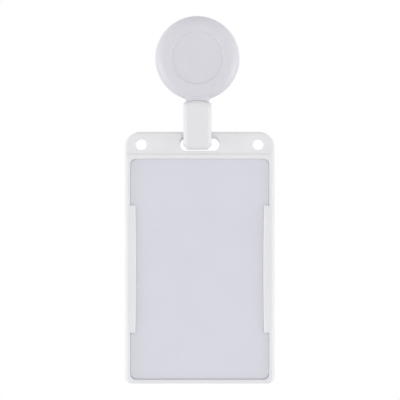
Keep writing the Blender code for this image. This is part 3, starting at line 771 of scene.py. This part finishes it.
def build_hook():
    # Places along the dome, and stations across the hook: closer together at the rounded edges
    near = [0.002, 0.006, 0.012, 0.02, 0.032, 0.046, 0.062, 0.08, 0.1]
    top_shares = near + spread(near[-1], 1 - near[-1], 26) + [1 - e for e in near[::-1]]
    ends = [5.5, 5.49, 5.46, 5.42, 5.36, 5.28, 5.18, 5.05, 4.9, 4.75]
    ends += [4.6, 4.45, 4.3, 4.15, 4.0, 3.9, 3.8, 3.7]
    stations = [-x for x in ends] + spread(-ends[-1], ends[-1], 12) + ends[::-1]
    path = hook_path()
    hook = loft("snap_hook", [hook_ring(x, path, top_shares) for x in stations])
    room = [(0.8, -23.5, 0), (5.8, -23.5, 0), (5.8, -18.9, 0), (1.7, -18.9, 0.5), (0.8, -22.4, 0.3)]
    room = [(CORD_Y + d, z) for d, z in filleted(room)]
    gate_room = slab("gate_room", room, [(-4.1, 0), (4.1, 0)], side_view)
    high, shoulder, low = -15, -18.7, -24
    neck, stop = 1.15, 2.1
    room = [(0, high), (neck, high), (neck, shoulder), (stop, shoulder), (stop, low), (0, low)]
    return cut(hook, gate_room, pin_hole(GATE_BORE, gate_axis), turned("stop_room", room, on_z, 64))


def build_gate():
    """The gate: an eye round the pin, and an arm whose tip lies along the slope of the crook."""
    gap = 0.25
    slope = (TIP_OUTER - TIP_INNER) / (HOOK_BACK - LOOP_HALF)
    tip = TIP_INNER + gap * sqrt(1 + slope**2)
    width = 1.7
    outer = LOOP_HALF + width
    eye = 1.2
    outline = arc((GATE_BACK, GATE_Z), eye, 0, 180, 24)
    outline += [(GATE_BACK - eye, GATE_Z - 0.4), (LOOP_HALF, GATE_Z - 1.6), (LOOP_HALF, tip)]
    outline += [(outer, tip + slope * width), (outer, GATE_Z - 1.2)]
    outline = [(CORD_Y + d, z) for d, z in outline]
    gate = slab("hook_gate_arm", outline, edge_levels(-3.9, 3.9, 0.2, 0.2, 4), side_view)
    near, far = CORD_Y + 1.0, CORD_Y + 6
    room = [(near, -22.4), (far, -22.4), (far, -18), (near, -18)]
    spring_room = slab("spring_room", room, [(-1.4, 0), (1.4, 0)], side_view)
    return cut(gate, spring_room, pin_hole(GATE_BORE, gate_axis))


def build_gate_pin():
    half, radius, edge = 5.2, 0.6, 0.1
    profile = [(0, -half), (radius - edge, -half), (radius, edge - half)]
    profile += [(r, -along) for r, along in profile[::-1]]
    return turned("gate_pin_fine", profile, gate_axis, 48)


def torsion_route(pivot, coil, turns, half, legs):
    """A coil round an axis along X, with a straight leg at each end. Legs end at (y, z) places."""
    y, z = pivot
    ends = []
    for side, (leg_y, leg_z) in ((-1, legs[0]), (1, legs[1])):
        towards = atan2(leg_z - z, leg_y - y)
        ends.append(towards + side * acos(coil / hypot(leg_y - y, leg_z - z)))
    sweep = (ends[0] - ends[1]) % tau + tau * turns
    points_per_turn = 40
    steps = round(sweep / tau * points_per_turn)
    route = [(-half, *legs[0])]
    for i in range(steps + 1):
        angle = ends[0] - sweep * i / steps
        x = -half + 2 * half * i / steps
        route.append((x, y + coil * cos(angle), z + coil * sin(angle)))
    return route + [(half, *legs[1])]


piece(build_hook(), "hook", HOOK, "hook_plastic", "hook_body")
piece(build_gate(), "gate", HOOK, "hook_plastic", "hook_gate")
piece(build_gate_pin(), "hook", NICKEL, "nickel_steel", "gate_pin")
gate_legs = ((CORD_Y + 2.42, GATE_Z - 3.6), (GATE_Y + 0.5, GATE_Z + 1.5))
gate_wire = torsion_route((GATE_Y, GATE_Z), coil=0.85, turns=3, half=1.1, legs=gate_legs)
gate_wire = tube("gate_spring_wire", gate_wire, 0.13, 12)
piece(gate_wire, None, SPRING, "spring_steel", "gate_spring")
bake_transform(gate_wire)


# The card frame, measured from its own middle line

HOLDER_X = 0.9
FRAME_FRONT = -8.5
FRAME_BACK = -5.1
# Cutters go this far, past either face
BEFORE_FRAME = FRAME_FRONT - 1
BEHIND_FRAME = FRAME_BACK + 1
FRAME_HALF = 29.3
FRAME_LOW = -127.1
FRAME_TOP = -28.75
FRAME_LOW_ROUND = 3.0
FRAME_TOP_ROUND = 6.2
SLOT_Z = -33.8
SLOT_LENGTH = 15.4
SLOT_HEIGHT = 4.9
HOLE_X = 22.85
THUMB_Z = -82.475
TRAY_ROUND = 2.2
CARD_ROUND = 2.4

# Levels of the tray's wall: place along Y, half width, top and foot
TRAY_WALL = (
    (-6.85, 26.8, -39.6, -125.0),
    (-6.88, 27.0, -39.44, -125.2),
    (-7.0, 27.05, -39.42, -125.38),
    (-7.9, 27.05, -39.42, -125.4),
    (-8.2, 27.13, -39.4, -125.44),
    (-8.5, 27.21, -39.3, -125.48),
    (-8.75, 27.3, -39.12, -125.58),
    (-8.92, 27.4, -38.86, -125.82),
    (-9.0, 27.6, -38.4, -126.4),
    (-10.0, 27.6, -38.4, -126.4),
)


def build_rim():
    """The raised rim round the tray, with a narrower round along its top and bottom."""
    side = FRAME_HALF - 0.01
    top, low = -37.4, FRAME_LOW + 0.01
    top_round = 1.8
    outline = box_outline(-side, side, low, top, FRAME_LOW_ROUND, top_round)
    shares = []
    for u, v in outline:
        near_top = max(0, v - (top - top_round)) / top_round
        near_low = max(0, low + FRAME_LOW_ROUND - v) / FRAME_LOW_ROUND
        shares.append(1 - 0.75 * near_top - 0.6 * near_low)
    rings = []
    for height, amount in edge_levels(-9.0, -6.0, (1.7, 2.0), 0, 10):
        moved = inset(outline, [amount * share for share in shares])
        rings.append([(HOLDER_X + u, height, v) for u, v in moved])
    return loft("rim", rings)


def tray_solid():
    rings = []
    for height, half, top, low in TRAY_WALL:
        outline = box_outline(-half, half, low, top, TRAY_ROUND, TRAY_ROUND)
        rings.append([(HOLDER_X + u, height, v) for u, v in outline])
    return loft("tray", rings)


def slot_solid():
    """The slot, with its upper half opening out to both faces where the crook bears."""
    bearing = 1.6
    most_flare = 0.3
    steps = 10
    levels = []
    for i in range(steps + 1):
        angle = pi / 2 * i / steps
        away = 1 - cos(angle)
        levels.append((bearing * (1 - sin(angle)), bearing * away, most_flare * away**4))
    front = [(FRAME_FRONT + depth, rise, flare) for depth, rise, flare in levels[::-1]]
    back = [(FRAME_BACK - depth, rise, flare) for depth, rise, flare in levels]
    first = (BEFORE_FRAME, bearing, most_flare)
    final = (BEHIND_FRAME, bearing, most_flare)
    outline = stadium((0, SLOT_Z), SLOT_LENGTH, SLOT_HEIGHT)
    rings = []
    for height, rise, flare in [first, *front, *back, final]:
        ring = []
        for u, v in inset(outline, -flare):
            above = v - SLOT_Z
            if above > 0:
                above *= 1 + rise / (SLOT_HEIGHT / 2)
            ring.append((HOLDER_X + u, height, SLOT_Z + above))
        rings.append(ring)
    return loft("slot", rings)


def hole_solid(x):
    """A small round hole with a softened edge on both faces."""
    radius, wider = 2.15, -0.4
    outline = arc((x, SLOT_Z), radius, 0, 360, 64)[:-1]
    levels = [(BEHIND_FRAME, wider), (FRAME_BACK, wider), (-5.4, 0.0), (-8.1, 0.0)]
    levels += [(-8.4, wider / 2), (FRAME_FRONT, wider), (BEFORE_FRAME, wider)]
    return slab("hole", outline, levels, across=HOLDER_X)


def thumb_solid():
    """The oval opening in the frame's back, taller than wide."""
    height, width = 20.0, 14.0
    wider = -0.5
    outline = [(u, THUMB_Z + v) for v, u in stadium((0, 0), height, width, 32)][::-1]
    levels = [(BEHIND_FRAME, wider), (FRAME_BACK, wider), (-5.25, -0.15), (-5.5, 0.0), (-7.5, 0.0)]
    return slab("thumb", outline, levels, across=HOLDER_X)


def build_lip(side):
    """A retaining lip: its root is inside the side wall and its free edge is gently convex."""
    top, low = -57.4, -107.3
    root = 28.0
    reach, bulge = 24.8, 0.28
    steps = 40
    edge = []
    for i in range(steps + 1):
        share = 2 * i / steps - 1
        edge.append((reach + bulge * share**2, (top + low) / 2 + (top - low) / 2 * share))
    outline = [(root, top), *edge[::-1], (root, low)]
    if side < 0:
        outline = [(-u, v) for u, v in outline][::-1]
    return slab("lip", outline, edge_levels(-8.95, -8.05, (0.8, 0.65), 0.15, 6), across=HOLDER_X)


def build_frame():
    sides = (-FRAME_HALF, FRAME_HALF, FRAME_LOW, FRAME_TOP)
    outline = box_outline(*sides, FRAME_LOW_ROUND, FRAME_TOP_ROUND)
    levels = edge_levels(FRAME_FRONT, FRAME_BACK, (1.3, 1.4), 0.6, 8)
    body = slab("card_frame", outline, levels, across=HOLDER_X)
    join(body, build_rim())
    cut(body, tray_solid(), slot_solid(), hole_solid(-HOLE_X), hole_solid(HOLE_X), thumb_solid())
    return join(body, build_lip(-1), build_lip(1))


def build_card():
    half, low, high = 26.99, -125.29, -39.43
    front, back = -7.81, -7.05
    edge = 0.06
    outline = box_outline(-half, half, low, high, CARD_ROUND, CARD_ROUND)
    return slab("identity_card", outline, edge_levels(front, back, edge, edge, 3), across=HOLDER_X)


piece(build_frame(), "holder", FRAME, "frame_plastic", "holder_frame")
piece(build_card(), "holder", CARD, "card", "card_blank")


# The clip, behind the reel

PIVOT_Y = 5.1
PIVOT_Z = 3.0
CLIP_BORE = 0.8
SHEET = 0.7
SHEET_EDGE = 0.12


def clip_axis(radius, along, angle):
    return (along, PIVOT_Y + radius * cos(angle), PIVOT_Z + radius * sin(angle))


def join_ears(jaw, half_width, radius, root_y, half_root):
    """Adds an ear at each side of a jaw, round the pivot, with its root at root_y."""
    first, final, lift = (-90, 90, half_root) if root_y < PIVOT_Y else (90, 270, -half_root)
    outline = arc((PIVOT_Y, PIVOT_Z), radius, first, final, 24)
    outline += [(root_y, PIVOT_Z + lift), (root_y, PIVOT_Z - lift)]
    for low in (-half_width, half_width - SHEET):
        join(jaw, slab("ear", outline, [(low, 0), (low + SHEET, 0)], side_view))


def build_base_jaw():
    half_width = 5.0
    outline = box_outline(-half_width, half_width, -12.5, 11, 1.0, 3.0)
    jaw = slab("clip_base", outline, [(-SHEET, 0), (0, 0)])
    join_ears(jaw, half_width, 2.0, -0.35, 3.6)
    rivet_hole = turned("hole", [(0, -2), (1.65, -2), (1.65, 1), (0, 1)], on_y, 64)
    cut(jaw, rivet_hole, pin_hole(CLIP_BORE, clip_axis))
    return soften(jaw, SHEET_EDGE)


def bent_strip(line, thickness, bend):
    """A strip's side outline along a middle line of (y, z) corners, bent to one radius."""
    corners = [Vector(p) for p in line]
    middle = [corners[0]]
    for i in range(1, len(corners) - 1):
        rounded = filleted([(*corners[i - 1], 0), (*corners[i], bend), (*corners[i + 1], 0)])
        middle += [Vector(p) for p in rounded[1:-1]]
    middle.append(corners[-1])
    sides = ([], [])
    for i, point in enumerate(middle):
        along = (middle[min(i + 1, len(middle) - 1)] - middle[max(i - 1, 0)]).normalized()
        across = Vector((-along.y, along.x)) * thickness / 2
        sides[0].append(tuple(point + across))
        sides[1].append(tuple(point - across))
    return sides[1] + sides[0][::-1]


def build_lever_jaw():
    half_width = 3.8
    line = ((0.75, -12.0), (4.9, -2.0), (7.7, 3.4), (10.3, 12.3))
    levels = [(-half_width, 0), (half_width, 0)]
    lever = slab("clip_lever", bent_strip(line, SHEET, 3.0), levels, side_view)
    join_ears(lever, half_width, 1.6, 7.2, 1.6)
    cut(lever, pin_hole(CLIP_BORE, clip_axis))
    side = half_width + 0.01
    shape = box_outline(-side, side, -12.4, 12.5, 0.9, 2.4)
    boolean(lever, slab("shape", shape, [(-2, 0), (12, 0)]), "INTERSECT")
    return soften(lever, SHEET_EDGE)


def build_clip_pin():
    half, neck = 5.7, 5.1
    head, shank = 1.25, 0.75
    profile = [(0, -half), (1.0, -half), (1.18, -half + 0.07), (head, -half + 0.25)]
    profile += [(head, -neck), (shank, -neck)]
    profile += [(r, -along) for r, along in profile[::-1]]
    return turned("clip_pin_fine", profile, clip_axis, 64)


def build_rivet():
    """Its flat head is inside the reel, and its clenched end is on the base jaw."""
    head, shank, clench = 3.0, 1.6, 2.4
    profile = [(0, -4.0), (head - 0.1, -4.0), (head, -3.9), (head, -3.3), (shank, -3.3)]
    profile += [(shank, 0.1), (clench, 0.1), (clench, 0.25)]
    profile += arc((1.85, 0.25), 0.55, 0, 90, 6) + [(0, 0.8)]
    return turned("swivel_rivet_fine", profile, on_y, 96)


piece(build_base_jaw(), "clip", NICKEL, "nickel_steel", "clip_base_jaw")
piece(build_lever_jaw(), "lever", NICKEL, "nickel_steel", "clip_lever_jaw")
piece(build_clip_pin(), "clip", NICKEL, "nickel_steel", "clip_pin")
piece(build_rivet(), "clip", NICKEL, "nickel_steel", "swivel_rivet")
clip_legs = ((9.0, 9.9), (0.45, 9.0))
clip_wire = torsion_route((PIVOT_Y, PIVOT_Z), coil=1.15, turns=4, half=2.2, legs=clip_legs)
clip_wire = tube("clip_spring_wire", clip_wire, 0.22, 14)
piece(clip_wire, None, SPRING, "spring_steel", "clip_spring")
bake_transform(clip_wire)


# CAD nodes that keep their own mesh

for name, made in (
    ("swivel_washer", NYLON),
    ("spool", NYLON),
    ("cord_winding", CORD),
    ("mainspring", SPRING),
    ("cord_ferrule", BRASS),
):
    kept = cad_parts[name]
    kept.data.materials.clear()
    kept.data.materials.append(made)


# Stage, light and camera

LIT_PLACE = (0.0, -0.008, -0.055)
# Light by height, from straight below to straight above
STUDIO = (
    (0.0, (0.64, 0.64, 0.65)),
    (0.36, (0.98, 0.98, 0.98)),
    (0.5, (0.92, 0.92, 0.92)),
    (0.68, (0.79, 0.79, 0.8)),
    (1.0, (0.5, 0.5, 0.51)),
)


def build_floor():
    half, z = 6000, -800
    corners = [(-half, -half, z), (half, -half, z), (half, half, z), (-half, half, z)]
    floor = new_object("floor", corners, [(0, 1, 2, 3)])
    s = Surface("pale_floor", 0.8, specular=0.2)
    pale = (0.9, 0.9, 0.9)
    tint = s.ramp(s.noise(0.004, 2), (0.3, shade(pale, 0.99)), (0.7, pale))
    floor.data.materials.append(s.finish(tint))


def soft_light(name, at, size, watts):
    """A round lamp that faces the object."""
    data = bpy.data.lights.new(name, "AREA")
    data.shape = "DISK"
    data.size = size
    data.energy = watts
    lamp = placed(name, data)
    lamp.location = at
    lamp.rotation_euler = (Vector(LIT_PLACE) - Vector(at)).to_track_quat("-Z", "Y").to_euler()


def build_world():
    """An even studio. The camera sees white straight behind the object and grey elsewhere."""
    world = bpy.data.worlds.new("studio")
    bpy.context.scene.world = world
    world.use_nodes = True
    tree = world.node_tree
    tree.nodes.clear()
    paths = tree.nodes.new("ShaderNodeLightPath")
    place = tree.nodes.new("ShaderNodeTexCoord")
    split = tree.nodes.new("ShaderNodeSeparateXYZ")
    tree.links.new(place.outputs["Generated"], split.inputs[0])

    sweep = tree.nodes.new("ShaderNodeMapRange")
    for key, value in (("From Min", 0.9), ("From Max", 0.98), ("To Min", 0.62), ("To Max", 1.0)):
        sweep.inputs[key].default_value = value
    tree.links.new(split.outputs["Y"], sweep.inputs["Value"])
    seen = tree.nodes.new("ShaderNodeBackground")
    seen.inputs["Color"].default_value = (1, 1, 1, 1)
    tree.links.new(sweep.outputs["Result"], seen.inputs["Strength"])

    height = tree.nodes.new("ShaderNodeMapRange")
    height.inputs["From Min"].default_value = -1.0
    height.inputs["From Max"].default_value = 1.0
    tree.links.new(split.outputs["Z"], height.inputs["Value"])
    shades = tree.nodes.new("ShaderNodeValToRGB")
    set_stops(shades, STUDIO)
    tree.links.new(height.outputs["Result"], shades.inputs["Fac"])
    fill = tree.nodes.new("ShaderNodeBackground")
    fill.inputs["Strength"].default_value = 1.225
    tree.links.new(shades.outputs["Color"], fill.inputs["Color"])

    mix = tree.nodes.new("ShaderNodeMixShader")
    out = tree.nodes.new("ShaderNodeOutputWorld")
    tree.links.new(paths.outputs["Is Camera Ray"], mix.inputs[0])
    tree.links.new(fill.outputs[0], mix.inputs[1])
    tree.links.new(seen.outputs[0], mix.inputs[2])
    tree.links.new(mix.outputs[0], out.inputs["Surface"])


def build_camera():
    """A long lens, square on to the object's front."""
    sensor = 36
    distance, seen_width = 900, 156
    data = bpy.data.cameras.new("camera")
    data.sensor_width = sensor
    data.lens = sensor * distance / seen_width
    data.clip_start = 0.05
    data.clip_end = 30
    camera = placed("camera", data)
    camera.location = (0.001, -0.909, -0.0554)
    camera.rotation_euler = (pi / 2, 0, 0)
    bpy.context.scene.camera = camera


build_floor()
build_world()
soft_light("left_light", (-0.86, -0.19, -0.26), 0.5, 1.85)
soft_light("right_light", (0.86, -0.19, -0.26), 0.5, 1.65)
soft_light("back_light", (0.3, 0.95, 0.35), 0.6, 0.5)
build_camera()
view = bpy.context.scene.view_settings
view.view_transform = "Standard"
view.look = "None"
